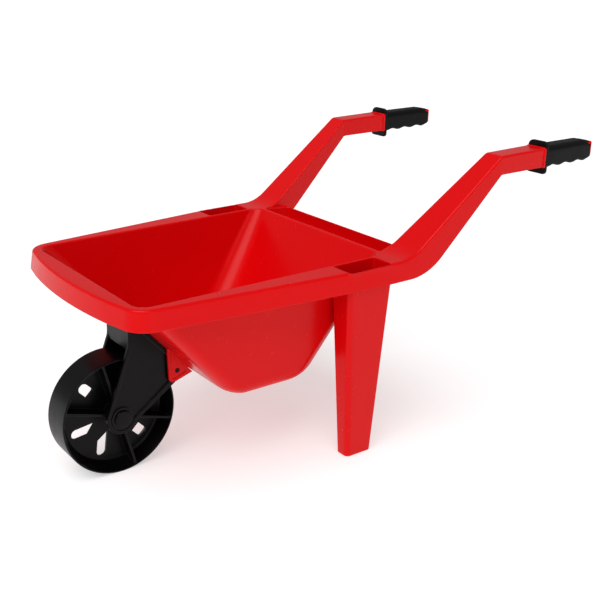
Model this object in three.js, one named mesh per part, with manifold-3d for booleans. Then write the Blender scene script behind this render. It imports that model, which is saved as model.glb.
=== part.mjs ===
// A child's plastic wheelbarrow: tray, legs and handle arms in red, wheel, fork and grips in black.
// Millimetres. +X points forward to the wheel, +Y to the barrow's left, +Z up, ground at Z = 0.
import * as THREE from 'three';
import { ConvexGeometry } from 'three/addons/geometries/ConvexGeometry.js';
import { mergeVertices } from 'three/addons/utils/BufferGeometryUtils.js';
import Module from 'manifold-3d';

const wasm = await Module();
wasm.setup();

// ---------------------------------------------------------------- driving dimensions

const WALL = 2.8;                 // moulded wall thickness
const GAP = 0.3;                  // between pieces that touch
const ARC_STEPS = 6;              // straight steps in a rounded corner
const ROUND_STEPS = 48;           // straight steps in a full circle

// tray: a hopper that hangs in a flat rim
const RIM_HEIGHT = 272;           // top face of the rim above the ground
const RIM_SKIRT = 26;             // height of the rim's turned-down edge
const RIM_FLARE = 4;              // how far the skirt leans out at its lower edge
const RIM_FRONT_X = 363;          // foremost point of the rim
const RIM_BOW_RADIUS = 640;       // curve of the rim's front edge, seen from above
const RIM_CORNER = 34;            // radius of the rim's front corners
const RIM_HALF = 184;             // half width of the rim at the legs
const RIM_TAPER_X = 38;           // where the rim starts to narrow towards the front
const RIM_TAPER = 0.096;          // how fast it narrows
const TUB_FRONT_X = 334;          // inner front edge of the hopper's mouth
const TUB_REAR_X = -28;           // inner rear edge of the hopper's mouth
const TUB_HALF = 142;             // half width of the hopper's mouth
const TUB_CORNER = 22;            // radius of the hopper's upright corners at its mouth
const REAR_CORNER_GROWTH = 24;    // how much larger the rear two are at the floor
const FRONT_SLOPE = 47.7;         // degrees of the front wall from level
const REAR_SLOPE = 58.4;          // degrees of the rear wall from level
const SIDE_SLOPE = 84;            // degrees of the side walls from level
const FLOOR_HEIGHT = 118.5;       // underside of the hopper above the ground
const FLOOR_EDGE = 15;            // radius along the hopper's lower edges
const TROUGH_LENGTH = 34;         // front-to-back opening of the channel behind the hopper
const TROUGH_DEPTH = 21;          // depth of that channel
const TROUGH_HALF = 122;          // half width of that channel

// legs: hollow, tapered, open at the top
const LEG_FRONT_TOP = 60;         // front face just under the rim
const LEG_FRONT_FOOT = 38.5;      // and at the ground
const LEG_REAR_TOP = -12;         // rear face just under the rim
const LEG_REAR_FOOT = -2.3;       // and at the ground
const LEG_INNER_FOOT = 142;       // inner face at the ground
const LEG_OUTER_FOOT = 162.5;     // outer face at the ground
const LEG_CORNER = 7;             // radius of the leg's outer front edge
const LEG_EDGE = 3;               // radius of its other upright edges

// arms: inverted channels that rise from the rim and run level to the grips
const ARM_ROOT_GAP = 6;           // joint between rim and arm, behind the leg
const ARM_ROOT_INNER = 129;       // inner face at that joint
const ARM_LEVEL_HEIGHT = 388;     // top face of the level stretch
const ARM_LEVEL_DEPTH = 25.5;     // height of the level stretch
const ARM_LEVEL_INNER = 150;      // inner face of the level stretch
const ARM_LEVEL_WIDTH = 31;       // width of the level stretch
const ARM_TOP_START_X = -45.5;    // where the sloping top would meet the rim's top face
const ARM_TOP_SLOPE = 37.3;       // degrees of the sloping stretch's top
const ARM_LOW_START_X = -72;      // where the sloping underside would meet the rim's lower edge
const ARM_LOW_SLOPE = 42.5;       // degrees of the sloping stretch's underside
const ARM_TOP_FILLET = 60;        // radius where the arm leaves the rim, on top
const ARM_LOW_FILLET = 80;        // and underneath
const ARM_KINK_RADIUS = 6;        // radius where the arm turns level
const ARM_END_X = -284;           // rear end of the level stretch
const COLLAR_LENGTH = 4;          // raised bead around that end
const COLLAR_PROUD = 1;           // height of that bead

// grips: black sleeves pushed onto the arms' spigots
const GRIP_LENGTH = 99;           // arm end to the sleeve's rear end
const TIP_LENGTH = 1.5;             // red spigot end that shows behind the sleeve
const GRIP_WALL = 2.4;
const GRIP_HEIGHT = 28;
const GRIP_WIDTH = 31;
const GRIP_RISE = 1;              // sleeve's middle above the arm's middle
const GRIP_CROWN = 8;             // radius along the sleeve's upper edges
const FLANGE_THICK = 5;
const FLANGE_RISE = 6.8;          // flange above the sleeve's top
const FLANGE_DROP = 10.7;         // flange below the sleeve's underside
const FLANGE_SIDE = 1.2;          // flange beyond the sleeve's sides
const FLANGE_CORNER = 6;
const FINGER_COUNT = 3;           // finger hollows along the underside
const FINGER_PITCH = 27;
const FINGER_FIRST = 14.5;        // middle of the first hollow behind the flange
const FINGER_DEPTH = 2.4;
const GRIP_CHAMFER_LENGTH = 28;   // slope at the sleeve's rear, on top
const GRIP_CHAMFER_HEIGHT = 8;

// wheel: one moulding, a tread ring with a flat web in its middle
const WHEEL_RADIUS = 80;
const WHEEL_WIDTH = 47;
const TREAD_EDGE = 2;             // thickness of the tread ring at its edges
const TREAD_ROOT = 10;            // thickness of the tread ring at the web
const WEB_THICK = 4;
const HUB_RADIUS = 14;
const HUB_LENGTH = 49;
const AXLE_RADIUS = 4;
const AXLE_PLAY = 0.08;          // running clearance between wheel and axle
const RIB_THICK = 3;
const RIB_ANGLES = [17, 75, 197, 255];   // degrees from forward, turning up
const SLOT_WIDTH = 13.5;
const SLOT_OUTER = 64;            // distance of the slots' outer ends from the axle
const SLOT_INNER = 45;            // inner ends of the two short slots
const SHORT_SLOTS = [46, 226];
const LONG_SLOTS = [-45, 135];    // each pair of long slots is mirrored about this direction
const LONG_SLOT_SPREAD = 24.9;    // degrees from that direction to a long slot's outer end
const LONG_SLOT_LEAN = 12.7;      // degrees that a long slot leans from its own radius
const SPOKE_HALF = 16;            // half width of the web between a pair of long slots, at the axle
const SPOKE_TAPER = 8.7;          // degrees by which that web narrows outwards on each side
const WHEEL_TO_TUB = 24.2;        // free space between the tread and the hopper's front wall

// fork: one moulding, two cheeks and a bridge over the wheel
const FORK_CLEARANCE = 0.5;       // between hub and cheek
const CHEEK_THICK = 3;
const CHEEK_RIB = 2.5;            // raised border on the cheek
const CHEEK_RIB_WIDTH = 5;
const FORK_END_RADIUS = 22;       // rounded lower end around the axle
const BOSS_RADIUS = 15;
const BRIDGE_THICK = 3;
const BRIDGE_BACK = 12.5;         // bridge's front face behind the axle
const BRIDGE_OVER_WHEEL = 11;     // bridge's lower edge above the tread
const SHOULDER_BACK = 12;         // where the cheek's front edge turns down, behind the axle
const SHOULDER_OVER_WHEEL = 18;   // and above the tread
const FORK_UNDER_SLOPE = 33.9;    // degrees of the cheek's lower rear edge
const FORK_UNDER_OFFSET = 18;     // that edge's distance from the axle
const CAP_RADIUS = 11.5;
const CAP_THICK = 3;
const CAP_SOCKET = 1.5;           // depth of the axle in its cap

// brackets: red ears under the front wall, outside the fork's cheeks
const EAR_THICK = 3;
const EAR_FRONT_BACK = 66;        // ear's front edge behind the axle
const EAR_REAR_BACK = 103;        // ear's rear point behind the axle
const EAR_BOTTOM = 114;           // ear's lowest point above the ground
const EAR_PIN_BACK = 80.6;      // pin behind the axle
const EAR_PIN_HEIGHT = 128.5;   // pin above the ground
const PIN_RADIUS = 2;
const PIN_FIT = 0.1;              // clearance of the pin in its holes
const PIN_SUNK = 0.8;             // pin's end below the bracket's face

// ---------------------------------------------------------------- derived places

const radians = THREE.MathUtils.degToRad;
const rimBottom = RIM_HEIGHT - RIM_SKIRT;
const plateBottom = RIM_HEIGHT - WALL;

// thickness of a wall of a given slope, measured level
const levelWall = (wall, slope) => wall / Math.sin(radians(slope));

// the hopper's outer walls at a height
const ARM_ROOT_X = LEG_REAR_TOP - ARM_ROOT_GAP;
const wallRun = (z, slope) => (RIM_HEIGHT - z) / Math.tan(radians(slope));
const frontWallX = (z) => TUB_FRONT_X + levelWall(WALL, FRONT_SLOPE) - wallRun(z, FRONT_SLOPE);
const rearWallX = (z) => TUB_REAR_X - levelWall(WALL, REAR_SLOPE) + wallRun(z, REAR_SLOPE);
const sideWallY = (z) => TUB_HALF + levelWall(WALL, SIDE_SLOPE) - wallRun(z, SIDE_SLOPE);

// the wheel sits a set distance in front of the sloping wall
const axleZ = WHEEL_RADIUS;
const wheelTop = 2 * WHEEL_RADIUS;
const axleX = frontWallX(axleZ) + (WHEEL_RADIUS + WHEEL_TO_TUB) / Math.sin(radians(FRONT_SLOPE));

// the channel behind the hopper
const troughFront = TUB_REAR_X - 2 * WALL;
const troughRear = troughFront - TROUGH_LENGTH;
const railRear = troughRear - WALL;
const railHalf = ARM_ROOT_INNER - GAP;

// the leg fills the room under the rim between skirt, hopper and arm
const legTop = {
  rear: LEG_REAR_TOP,
  front: LEG_FRONT_TOP,
  inner: sideWallY(plateBottom) + GAP,
  outer: RIM_HALF - WALL - GAP,
  height: plateBottom - GAP,
};

// fork and brackets, measured out from the middle
const cheekInner = HUB_LENGTH / 2 + FORK_CLEARANCE;
const cheekOuter = cheekInner + CHEEK_THICK;
const ribOuter = cheekOuter + CHEEK_RIB;
const earInner = ribOuter + GAP;
const earOuter = earInner + EAR_THICK;
const pinX = axleX - EAR_PIN_BACK;

// grips, centred on the arms
const gripEnd = ARM_END_X - GRIP_LENGTH;
const gripMidY = ARM_LEVEL_INNER + ARM_LEVEL_WIDTH / 2;
const gripMidZ = ARM_LEVEL_HEIGHT - ARM_LEVEL_DEPTH / 2 + GRIP_RISE;
const spigotHalfY = GRIP_WIDTH / 2 - GRIP_WALL - GAP;
const spigotHalfZ = GRIP_HEIGHT / 2 - GRIP_WALL - FINGER_DEPTH - GAP;

// ---------------------------------------------------------------- solid helpers

function solid(geometry) {
  geometry.deleteAttribute('normal');
  geometry.deleteAttribute('uv');
  const merged = mergeVertices(geometry, 1e-4);
  return new wasm.Manifold(new wasm.Mesh({
    numProp: 3,
    vertProperties: new Float32Array(merged.attributes.position.array),
    triVerts: new Uint32Array(merged.index.array),
  }));
}

function toGeometry(manifold) {
  const mesh = manifold.getMesh();
  const geometry = new THREE.BufferGeometry();
  geometry.setAttribute('position', new THREE.BufferAttribute(mesh.vertProperties, 3));
  geometry.setIndex(new THREE.BufferAttribute(mesh.triVerts, 1));
  geometry.computeVertexNormals();
  return geometry;
}

function extrude(points, length) {
  const shape = new THREE.Shape(points.map(([u, v]) => new THREE.Vector2(u, v)));
  return new THREE.ExtrudeGeometry(shape, { depth: length, bevelEnabled: false });
}

// an outline in X and Y, standing between two heights
const upright = (points, z0, z1) => solid(extrude(points, z1 - z0).translate(0, 0, z0));

// an outline in X and Z, running across between two Y values
const crosswise = (points, y0, y1) => solid(extrude(points, y1 - y0).rotateX(Math.PI / 2).translate(0, y1, 0));

// an outline in Y and Z, running front to back between two X values
function lengthwise(points, x0, x1) {
  const swapped = points.map(([y, z]) => [-z, y]);
  return solid(extrude(swapped, x1 - x0).rotateY(Math.PI / 2).translate(x0, 0, 0));
}

const box = (x0, x1, y0, y1, z0, z1) => upright([[x0, y0], [x1, y0], [x1, y1], [x0, y1]], z0, z1);

// a rod or disc on a line parallel to Y
function disc(radius, x, z, y0, y1, steps = ROUND_STEPS) {
  const geometry = new THREE.CylinderGeometry(radius, radius, y1 - y0, steps);
  return solid(geometry.translate(x, (y0 + y1) / 2, z));
}

// outline corners given as [u, v, radius], with each radius turned into an arc
function rounded(corners, steps = ARC_STEPS) {
  const points = [];
  corners.forEach(([u, v, radius = 0], i) => {
    if (radius <= 0) {
      points.push([u, v]);
      return;
    }
    const corner = new THREE.Vector2(u, v);
    const before = corners[(i + corners.length - 1) % corners.length];
    const after = corners[(i + 1) % corners.length];
    const toBefore = new THREE.Vector2(before[0] - u, before[1] - v).normalize();
    const toAfter = new THREE.Vector2(after[0] - u, after[1] - v).normalize();
    const half = Math.acos(THREE.MathUtils.clamp(toBefore.dot(toAfter), -1, 1)) / 2;
    const bisector = toBefore.clone().add(toAfter).normalize();
    const centre = corner.clone().addScaledVector(bisector, radius / Math.sin(half));
    const start = corner.clone().addScaledVector(toBefore, radius / Math.tan(half)).sub(centre);
    const end = corner.clone().addScaledVector(toAfter, radius / Math.tan(half)).sub(centre);
    const turn = Math.atan2(start.x * end.y - start.y * end.x, start.dot(end));
    for (let k = 0; k <= steps; k += 1) {
      const point = start.clone().rotateAround(new THREE.Vector2(), (turn * k) / steps).add(centre);
      points.push([point.x, point.y]);
    }
  });
  return points;
}

// the convex body around outlines in X and Y at given heights
function loft(levels) {
  const points = levels.flatMap(({ z, outline }) => outline.map(([x, y]) => new THREE.Vector3(x, y, z)));
  return solid(new ConvexGeometry(points));
}

const rectangle = (x0, x1, y0, y1, radius) => [
  [x0, y0, radius], [x1, y0, radius], [x1, y1, radius], [x0, y1, radius],
];

const mirrored = (manifold) => manifold.mirror([0, 1, 0]);
const bothSides = (manifold) => manifold.add(mirrored(manifold));
const union = (parts) => parts.reduce((whole, part) => whole.add(part));

// ---------------------------------------------------------------- tray

// the hopper's section at a height, set in from its outer walls
function hopperOutline(z, inset) {
  const rear = rearWallX(z) + levelWall(inset, REAR_SLOPE);
  const front = frontWallX(z) - levelWall(inset, FRONT_SLOPE);
  const half = sideWallY(z) - levelWall(inset, SIDE_SLOPE);
  const depth = (RIM_HEIGHT - z) / (RIM_HEIGHT - FLOOR_HEIGHT);
  const corner = TUB_CORNER - inset;
  const rearCorner = corner + REAR_CORNER_GROWTH * depth;
  return rounded([
    [rear, -half, rearCorner], [front, -half, corner],
    [front, half, corner], [rear, half, rearCorner],
  ]);
}

// the hopper's body from its mouth to its floor, with rounded lower edges
function hopperBody(inset, top) {
  const floor = FLOOR_HEIGHT + inset;
  const edge = FLOOR_EDGE - inset;
  const steps = 3;
  const levels = [{ z: top, outline: hopperOutline(top, inset) }];
  for (let k = 0; k <= steps; k += 1) {
    const angle = (Math.PI / 2) * (k / steps);
    const z = floor + edge * (1 - Math.sin(angle));
    levels.push({ z, outline: hopperOutline(z, inset + 0.6 * edge * (1 - Math.cos(angle))) });
  }
  return loft(levels);
}

// the rim's outline from above: bowed front, tapering sides, square rear
function rimOutline(inset, rear) {
  const bow = RIM_BOW_RADIUS - inset;
  const centreX = RIM_FRONT_X - RIM_BOW_RADIUS;
  const taperEnd = RIM_FRONT_X - RIM_CORNER;
  const cornerY = RIM_HALF - RIM_TAPER * (taperEnd - RIM_TAPER_X) - inset;
  const cornerX = centreX + Math.sqrt(bow ** 2 - cornerY ** 2);
  const bowHalf = Math.asin((cornerY - 1.6 * RIM_CORNER) / bow);
  const steps = 8;
  const bowPoints = [];
  for (let k = 0; k <= steps; k += 1) {
    const angle = -bowHalf + (2 * bowHalf * k) / steps;
    bowPoints.push([centreX + bow * Math.cos(angle), bow * Math.sin(angle)]);
  }
  const half = RIM_HALF - inset;
  return rounded([
    [rear, -half], [RIM_TAPER_X, -half], [cornerX, -cornerY, RIM_CORNER - inset],
    ...bowPoints,
    [cornerX, cornerY, RIM_CORNER - inset], [RIM_TAPER_X, half], [rear, half],
  ]);
}

// the rim as a solid block with a leaning edge
function rimBlock(inset, rear, bottom, top) {
  const lean = (z) => inset + (RIM_FLARE * (z - rimBottom)) / RIM_SKIRT;
  return loft([bottom, top].map((z) => ({ z, outline: rimOutline(lean(z), rear) })));
}

function makeTray() {
  const rim = rimBlock(0, ARM_ROOT_X, rimBottom, RIM_HEIGHT)
    .subtract(rimBlock(WALL, ARM_ROOT_X + WALL, rimBottom - 1, plateBottom));
  const rail = box(railRear, ARM_ROOT_X + WALL, -railHalf, railHalf, rimBottom, RIM_HEIGHT)
    .subtract(box(railRear + WALL, ARM_ROOT_X + 2 * WALL, -railHalf + WALL, railHalf - WALL,
      rimBottom - 1, plateBottom));
  const troughBottom = RIM_HEIGHT - TROUGH_DEPTH;
  const troughBox = box(railRear, troughFront + WALL, -TROUGH_HALF - WALL, TROUGH_HALF + WALL,
    troughBottom - WALL, RIM_HEIGHT);
  const trough = upright(rounded(rectangle(troughRear, troughFront, -TROUGH_HALF, TROUGH_HALF, 4)),
    troughBottom, RIM_HEIGHT + 1);
  const pocket = upright(rounded(rectangle(legTop.rear + WALL, legTop.front - WALL,
    legTop.inner + WALL, legTop.outer - WALL, LEG_CORNER - WALL)), plateBottom - 1, RIM_HEIGHT + 1);
  return rim.add(rail).add(troughBox).add(hopperBody(0, RIM_HEIGHT))
    .subtract(hopperBody(WALL, RIM_HEIGHT + 1))
    .subtract(trough)
    .subtract(bothSides(pocket))
    .subtract(bothSides(legBody(-GAP, 0)));
}

// ---------------------------------------------------------------- legs

// a leg's section: its outer front edge is rounder than the others
function legOutline(rear, front, inner, outer, inset) {
  const edge = Math.max(LEG_EDGE - inset, 1);
  return rectangle(rear + inset, front - inset, inner + inset, outer - inset, edge)
    .map(([x, y, radius], i) => [x, y, i === 2 ? LEG_CORNER - inset : radius]);
}

// a leg's outer body; extra raises its top, and a negative inset makes it larger
function legBody(inset, extra) {
  const atTop = legOutline(legTop.rear, legTop.front, legTop.inner, legTop.outer, inset);
  const atFoot = legOutline(LEG_REAR_FOOT, LEG_FRONT_FOOT, LEG_INNER_FOOT, LEG_OUTER_FOOT, inset);
  return loft([
    { z: legTop.height - Math.min(0, inset) + extra, outline: rounded(atTop) },
    { z: inset, outline: rounded(atFoot) },
  ]);
}

const makeLeg = () => legBody(0, 0).subtract(legBody(WALL, 1));

// ---------------------------------------------------------------- arms

const armLevelBottom = ARM_LEVEL_HEIGHT - ARM_LEVEL_DEPTH;
const armTopSlope = Math.tan(radians(ARM_TOP_SLOPE));
const armLowSlope = Math.tan(radians(ARM_LOW_SLOPE));
const armTopKinkX = ARM_TOP_START_X - (ARM_LEVEL_HEIGHT - RIM_HEIGHT) / armTopSlope;
const armLowKinkX = ARM_LOW_START_X - (armLevelBottom - rimBottom) / armLowSlope;

// the arm seen from the side: inset moves its top and ends in, below moves its underside down
function armSide(inset, below) {
  const shift = (inset * (1 - Math.cos(radians(ARM_TOP_SLOPE)))) / Math.sin(radians(ARM_TOP_SLOPE));
  return rounded([
    [ARM_ROOT_X - GAP - inset, rimBottom - below],
    [ARM_ROOT_X - GAP - inset, RIM_HEIGHT - inset],
    [ARM_TOP_START_X + shift, RIM_HEIGHT - inset, ARM_TOP_FILLET + inset],
    [armTopKinkX + shift, ARM_LEVEL_HEIGHT - inset, ARM_KINK_RADIUS],
    [ARM_END_X + inset, ARM_LEVEL_HEIGHT - inset],
    [ARM_END_X + inset, armLevelBottom - below],
    [armLowKinkX, armLevelBottom - below, ARM_KINK_RADIUS],
    [ARM_LOW_START_X, rimBottom - below, ARM_LOW_FILLET],
  ], 8);
}

// the arm seen from above
function armPlan(inset) {
  const outer = RIM_HALF - inset;
  const inner = ARM_ROOT_INNER + inset;
  const levelInner = ARM_LEVEL_INNER + inset;
  const levelOuter = ARM_LEVEL_INNER + ARM_LEVEL_WIDTH - inset;
  return [
    [ARM_END_X, levelInner], [armTopKinkX, levelInner], [ARM_TOP_START_X, inner], [ARM_ROOT_X, inner],
    [ARM_ROOT_X, outer], [ARM_TOP_START_X, outer], [armTopKinkX, levelOuter], [ARM_END_X, levelOuter],
  ];
}

function armBody(inset, below) {
  const side = crosswise(armSide(inset, below), 0, RIM_HALF + 1);
  return side.intersect(upright(armPlan(inset), 0, ARM_LEVEL_HEIGHT + 1));
}

function makeArm() {
  const collarY = ARM_LEVEL_WIDTH / 2 + COLLAR_PROUD;
  const collarMidZ = ARM_LEVEL_HEIGHT - ARM_LEVEL_DEPTH / 2;
  const collarZ = ARM_LEVEL_DEPTH / 2 + COLLAR_PROUD;
  const collar = box(ARM_END_X, ARM_END_X + COLLAR_LENGTH, gripMidY - collarY, gripMidY + collarY,
    collarMidZ - collarZ, collarMidZ + collarZ);
  const spigot = box(gripEnd - TIP_LENGTH, ARM_END_X + 1, gripMidY - spigotHalfY, gripMidY + spigotHalfY,
    gripMidZ - spigotHalfZ, gripMidZ + spigotHalfZ);
  const spigotHollow = box(gripEnd - TIP_LENGTH + WALL, ARM_END_X - WALL,
    gripMidY - spigotHalfY + WALL, gripMidY + spigotHalfY - WALL,
    gripMidZ - spigotHalfZ - 1, gripMidZ + spigotHalfZ - WALL);
  const hopperRoom = hopperBody(-GAP, RIM_HEIGHT + WALL);
  return armBody(0, 0).subtract(armBody(WALL, 5)).subtract(hopperRoom)
    .add(collar).add(spigot.subtract(spigotHollow));
}

// ---------------------------------------------------------------- grips

// the sleeve seen from the side, with finger hollows along its underside
function gripSide(front) {
  const top = gripMidZ + GRIP_HEIGHT / 2;
  const bottom = gripMidZ - GRIP_HEIGHT / 2;
  const hollowHalf = FINGER_PITCH * 0.46;
  const steps = 6;
  const hollows = [];
  for (let n = 0; n < FINGER_COUNT; n += 1) {
    const middle = front - FLANGE_THICK - FINGER_FIRST - FINGER_PITCH * n;
    for (let k = 0; k <= steps; k += 1) {
      const across = 1 - (2 * k) / steps;
      hollows.push([middle + hollowHalf * across, bottom + FINGER_DEPTH * Math.cos((Math.PI / 2) * across) ** 2]);
    }
  }
  return [
    [front, top], [front, bottom], ...hollows,
    [gripEnd + FLANGE_THICK, bottom + FINGER_DEPTH], [gripEnd, bottom + 2 * FINGER_DEPTH],
    [gripEnd, top - GRIP_CHAMFER_HEIGHT], [gripEnd + GRIP_CHAMFER_LENGTH, top],
  ];
}

function makeGrip() {
  const front = ARM_END_X - GAP;
  const halfY = GRIP_WIDTH / 2;
  const low = gripMidZ - GRIP_HEIGHT / 2;
  const high = gripMidZ + GRIP_HEIGHT / 2;
  const crowned = rounded([
    [gripMidY - halfY, low, 2], [gripMidY + halfY, low, 2],
    [gripMidY + halfY, high, GRIP_CROWN], [gripMidY - halfY, high, GRIP_CROWN],
  ]);
  const sleeve = crosswise(gripSide(front), gripMidY - halfY, gripMidY + halfY)
    .intersect(lengthwise(crowned, gripEnd - 1, front + 1));
  const flangeOutline = rounded(rectangle(
    gripMidY - halfY - FLANGE_SIDE, gripMidY + halfY + FLANGE_SIDE,
    low - FLANGE_DROP, high + FLANGE_RISE, FLANGE_CORNER));
  const flange = lengthwise(flangeOutline, front - FLANGE_THICK, front);
  const boreY = spigotHalfY + GAP;
  const boreZ = spigotHalfZ + GAP;
  const bore = box(gripEnd - 1, front + 1, gripMidY - boreY, gripMidY + boreY, gripMidZ - boreZ, gripMidZ + boreZ);
  return sleeve.add(flange).subtract(bore);
}

// ---------------------------------------------------------------- wheel

const webOuter = WHEEL_RADIUS - TREAD_ROOT;

// a slot through the web, pointing at an angle, from one distance to another
function slotTool(angle, lean, inner, outer) {
  const half = SLOT_WIDTH / 2;
  const end = new THREE.Vector2(outer - half, 0);
  const outline = [new THREE.Vector2(inner, -half)];
  for (let k = 0; k <= ARC_STEPS; k += 1) {
    const turn = -Math.PI / 2 + (Math.PI * k) / ARC_STEPS;
    outline.push(new THREE.Vector2(end.x + half * Math.cos(turn), half * Math.sin(turn)));
  }
  outline.push(new THREE.Vector2(inner, half));
  const placed = outline.map((point) => {
    point.rotateAround(end, radians(lean)).rotateAround(new THREE.Vector2(), radians(angle));
    return [point.x, point.y];
  });
  return crosswise(placed, -WEB_THICK, WEB_THICK);
}

// turn about the axle, from forward towards up
const turnedUp = (manifold, angle) => manifold.rotate([0, -angle, 0]);

// the web that stays between the two long slots of a pair, narrowing outwards
function spokeWedge() {
  const outer = SPOKE_HALF - WHEEL_RADIUS * Math.tan(radians(SPOKE_TAPER));
  return crosswise([
    [0, -SPOKE_HALF], [WHEEL_RADIUS, -outer], [WHEEL_RADIUS, outer], [0, SPOKE_HALF],
  ], -2 * WEB_THICK, 2 * WEB_THICK);
}

function longSlots(angle) {
  const pair = [1, -1].map((side) => slotTool(side * LONG_SLOT_SPREAD, side * LONG_SLOT_LEAN, HUB_RADIUS, SLOT_OUTER));
  return turnedUp(union(pair).subtract(spokeWedge()), angle);
}

function makeWheel() {
  const halfWidth = WHEEL_WIDTH / 2;
  const halfWeb = WEB_THICK / 2;
  const bevel = 0.8;
  const profile = [
    [webOuter, -halfWeb], [WHEEL_RADIUS - TREAD_EDGE, -halfWidth], [WHEEL_RADIUS - bevel, -halfWidth],
    [WHEEL_RADIUS, bevel - halfWidth], [WHEEL_RADIUS, halfWidth - bevel], [WHEEL_RADIUS - bevel, halfWidth],
    [WHEEL_RADIUS - TREAD_EDGE, halfWidth], [webOuter, halfWeb], [webOuter, -halfWeb],
  ];
  const tread = solid(new THREE.LatheGeometry(profile.map(([r, y]) => new THREE.Vector2(r, y)), 2 * ROUND_STEPS));
  const web = disc(webOuter + 1, 0, 0, -halfWeb, halfWeb, 2 * ROUND_STEPS);
  const hub = disc(HUB_RADIUS, 0, 0, -HUB_LENGTH / 2, HUB_LENGTH / 2);
  const rib = box(HUB_RADIUS - 2, webOuter + 3, 1.5 - halfWidth, halfWidth - 1.5, -RIB_THICK / 2, RIB_THICK / 2);
  const ribs = RIB_ANGLES.map((angle) => turnedUp(rib, angle));
  const slots = [
    ...SHORT_SLOTS.map((angle) => slotTool(angle, 0, SLOT_INNER, SLOT_OUTER)),
    ...LONG_SLOTS.map(longSlots),
  ];
  const bore = disc(AXLE_RADIUS + AXLE_PLAY, 0, 0, -HUB_LENGTH, HUB_LENGTH);
  const inside = disc(WHEEL_RADIUS - TREAD_EDGE / 2, 0, 0, -halfWidth, halfWidth, 2 * ROUND_STEPS);
  return web.subtract(union(slots)).add(union([hub, ...ribs]).intersect(inside.add(hub))).add(tread)
    .subtract(bore).translate([axleX, 0, axleZ]);
}

// ---------------------------------------------------------------- fork

const forkFrontX = axleX - BRIDGE_BACK;
const underSlope = radians(FORK_UNDER_SLOPE);

// height just under the hopper's front wall at a place along the barrow
function underWall(x) {
  const slope = radians(FRONT_SLOPE);
  return RIM_HEIGHT - (frontWallX(RIM_HEIGHT) - x) * Math.tan(slope) - GAP / Math.cos(slope);
}

// where a line that starts at x, z and rises backwards at the cheek's lower slope meets that wall
function rearMeeting(x, z) {
  const rise = Math.tan(underSlope) + Math.tan(radians(FRONT_SLOPE));
  const back = (underWall(x) - z) / rise;
  return [x - back, z + back * Math.tan(underSlope)];
}

// the cheek seen from the side; inset moves all its edges in
function cheekOutline(inset) {
  const radius = FORK_END_RADIUS - inset;
  const x = forkFrontX - inset;
  const shoulder = new THREE.Vector2(-SHOULDER_BACK - inset, wheelTop + SHOULDER_OVER_WHEEL - axleZ);
  const frontAngle = shoulder.angle() - Math.acos(radius / shoulder.length());
  const under = FORK_UNDER_OFFSET - inset;
  const endX = axleX - under * Math.sin(underSlope) - radius * Math.cos(underSlope);
  const endZ = axleZ - under * Math.cos(underSlope) + radius * Math.sin(underSlope);
  const rear = rearMeeting(endX, endZ);
  const top = underWall(x) - 1.5 * inset;
  const outline = [[rear[0] + 1.5 * inset, rear[1]], [endX, endZ], [axleX, axleZ]];
  outline.push([axleX + radius * Math.cos(frontAngle), axleZ + radius * Math.sin(frontAngle)]);
  outline.push([axleX + shoulder.x, axleZ + shoulder.y], [x, axleZ + shoulder.y + 3], [x, top]);
  return outline;
}

function cheekPlate(inset, y0, y1) {
  return crosswise(cheekOutline(inset), y0, y1).add(disc(FORK_END_RADIUS - inset, axleX, axleZ, y0, y1));
}

function makeFork() {
  const border = cheekPlate(0, cheekOuter, ribOuter)
    .subtract(cheekPlate(CHEEK_RIB_WIDTH, cheekOuter - 1, ribOuter + 1))
    .add(disc(BOSS_RADIUS, axleX, axleZ, cheekOuter, ribOuter));
  const cheek = cheekPlate(0, cheekInner, cheekOuter).add(border)
    .add(disc(PIN_RADIUS + 4, pinX, EAR_PIN_HEIGHT, cheekInner, ribOuter, 24)
      .intersect(cheekPlate(0, cheekInner, ribOuter)))
    .subtract(disc(AXLE_RADIUS + GAP, axleX, axleZ, cheekInner - 1, ribOuter + 1))
    .subtract(disc(PIN_RADIUS + PIN_FIT, pinX, EAR_PIN_HEIGHT, cheekInner - 1, ribOuter + 1, 24));
  const bridge = box(forkFrontX - BRIDGE_THICK, forkFrontX, -cheekInner - 1, cheekInner + 1,
    wheelTop + BRIDGE_OVER_WHEEL, underWall(forkFrontX - BRIDGE_THICK));
  return bothSides(cheek).add(bridge);
}

// ---------------------------------------------------------------- brackets, pins, axle and caps

function makeEar() {
  const frontX = axleX - EAR_FRONT_BACK;
  const rearX = axleX - EAR_REAR_BACK;
  const outline = rounded([
    [rearX, underWall(rearX)], [frontX - 12, EAR_BOTTOM, 6], [frontX - 2, EAR_BOTTOM, 5],
    [frontX, underWall(frontX)],
  ]);
  return crosswise(outline, earInner, earOuter)
    .subtract(disc(PIN_RADIUS + PIN_FIT, pinX, EAR_PIN_HEIGHT, earInner - 1, earOuter + 1, 24));
}

const makePin = () => disc(PIN_RADIUS, pinX, EAR_PIN_HEIGHT, cheekInner, earOuter - PIN_SUNK, 24);

const axleHalf = ribOuter + GAP + CAP_SOCKET;
const makeAxle = () => disc(AXLE_RADIUS, axleX, axleZ, -axleHalf, axleHalf);

function makeCap() {
  const inner = ribOuter + GAP;
  return disc(CAP_RADIUS, axleX, axleZ, inner, inner + CAP_THICK)
    .subtract(disc(AXLE_RADIUS + GAP, axleX, axleZ, inner - 1, axleHalf + GAP));
}

// ---------------------------------------------------------------- assembly

const redPlastic = { color: 0xd8141c, roughness: 0.35, metalness: 0 };
const blackPlastic = { color: 0x1b1b1e, roughness: 0.45, metalness: 0 };
const blackRubber = { color: 0x26272a, roughness: 0.6, metalness: 0 };
const steel = { color: 0x8c8f94, roughness: 0.35, metalness: 1 };

// the model is built around the hopper, then centred on its full length
const wheelbarrow = new THREE.Group();
wheelbarrow.position.x = -(axleX + WHEEL_RADIUS + gripEnd - TIP_LENGTH) / 2;

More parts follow.
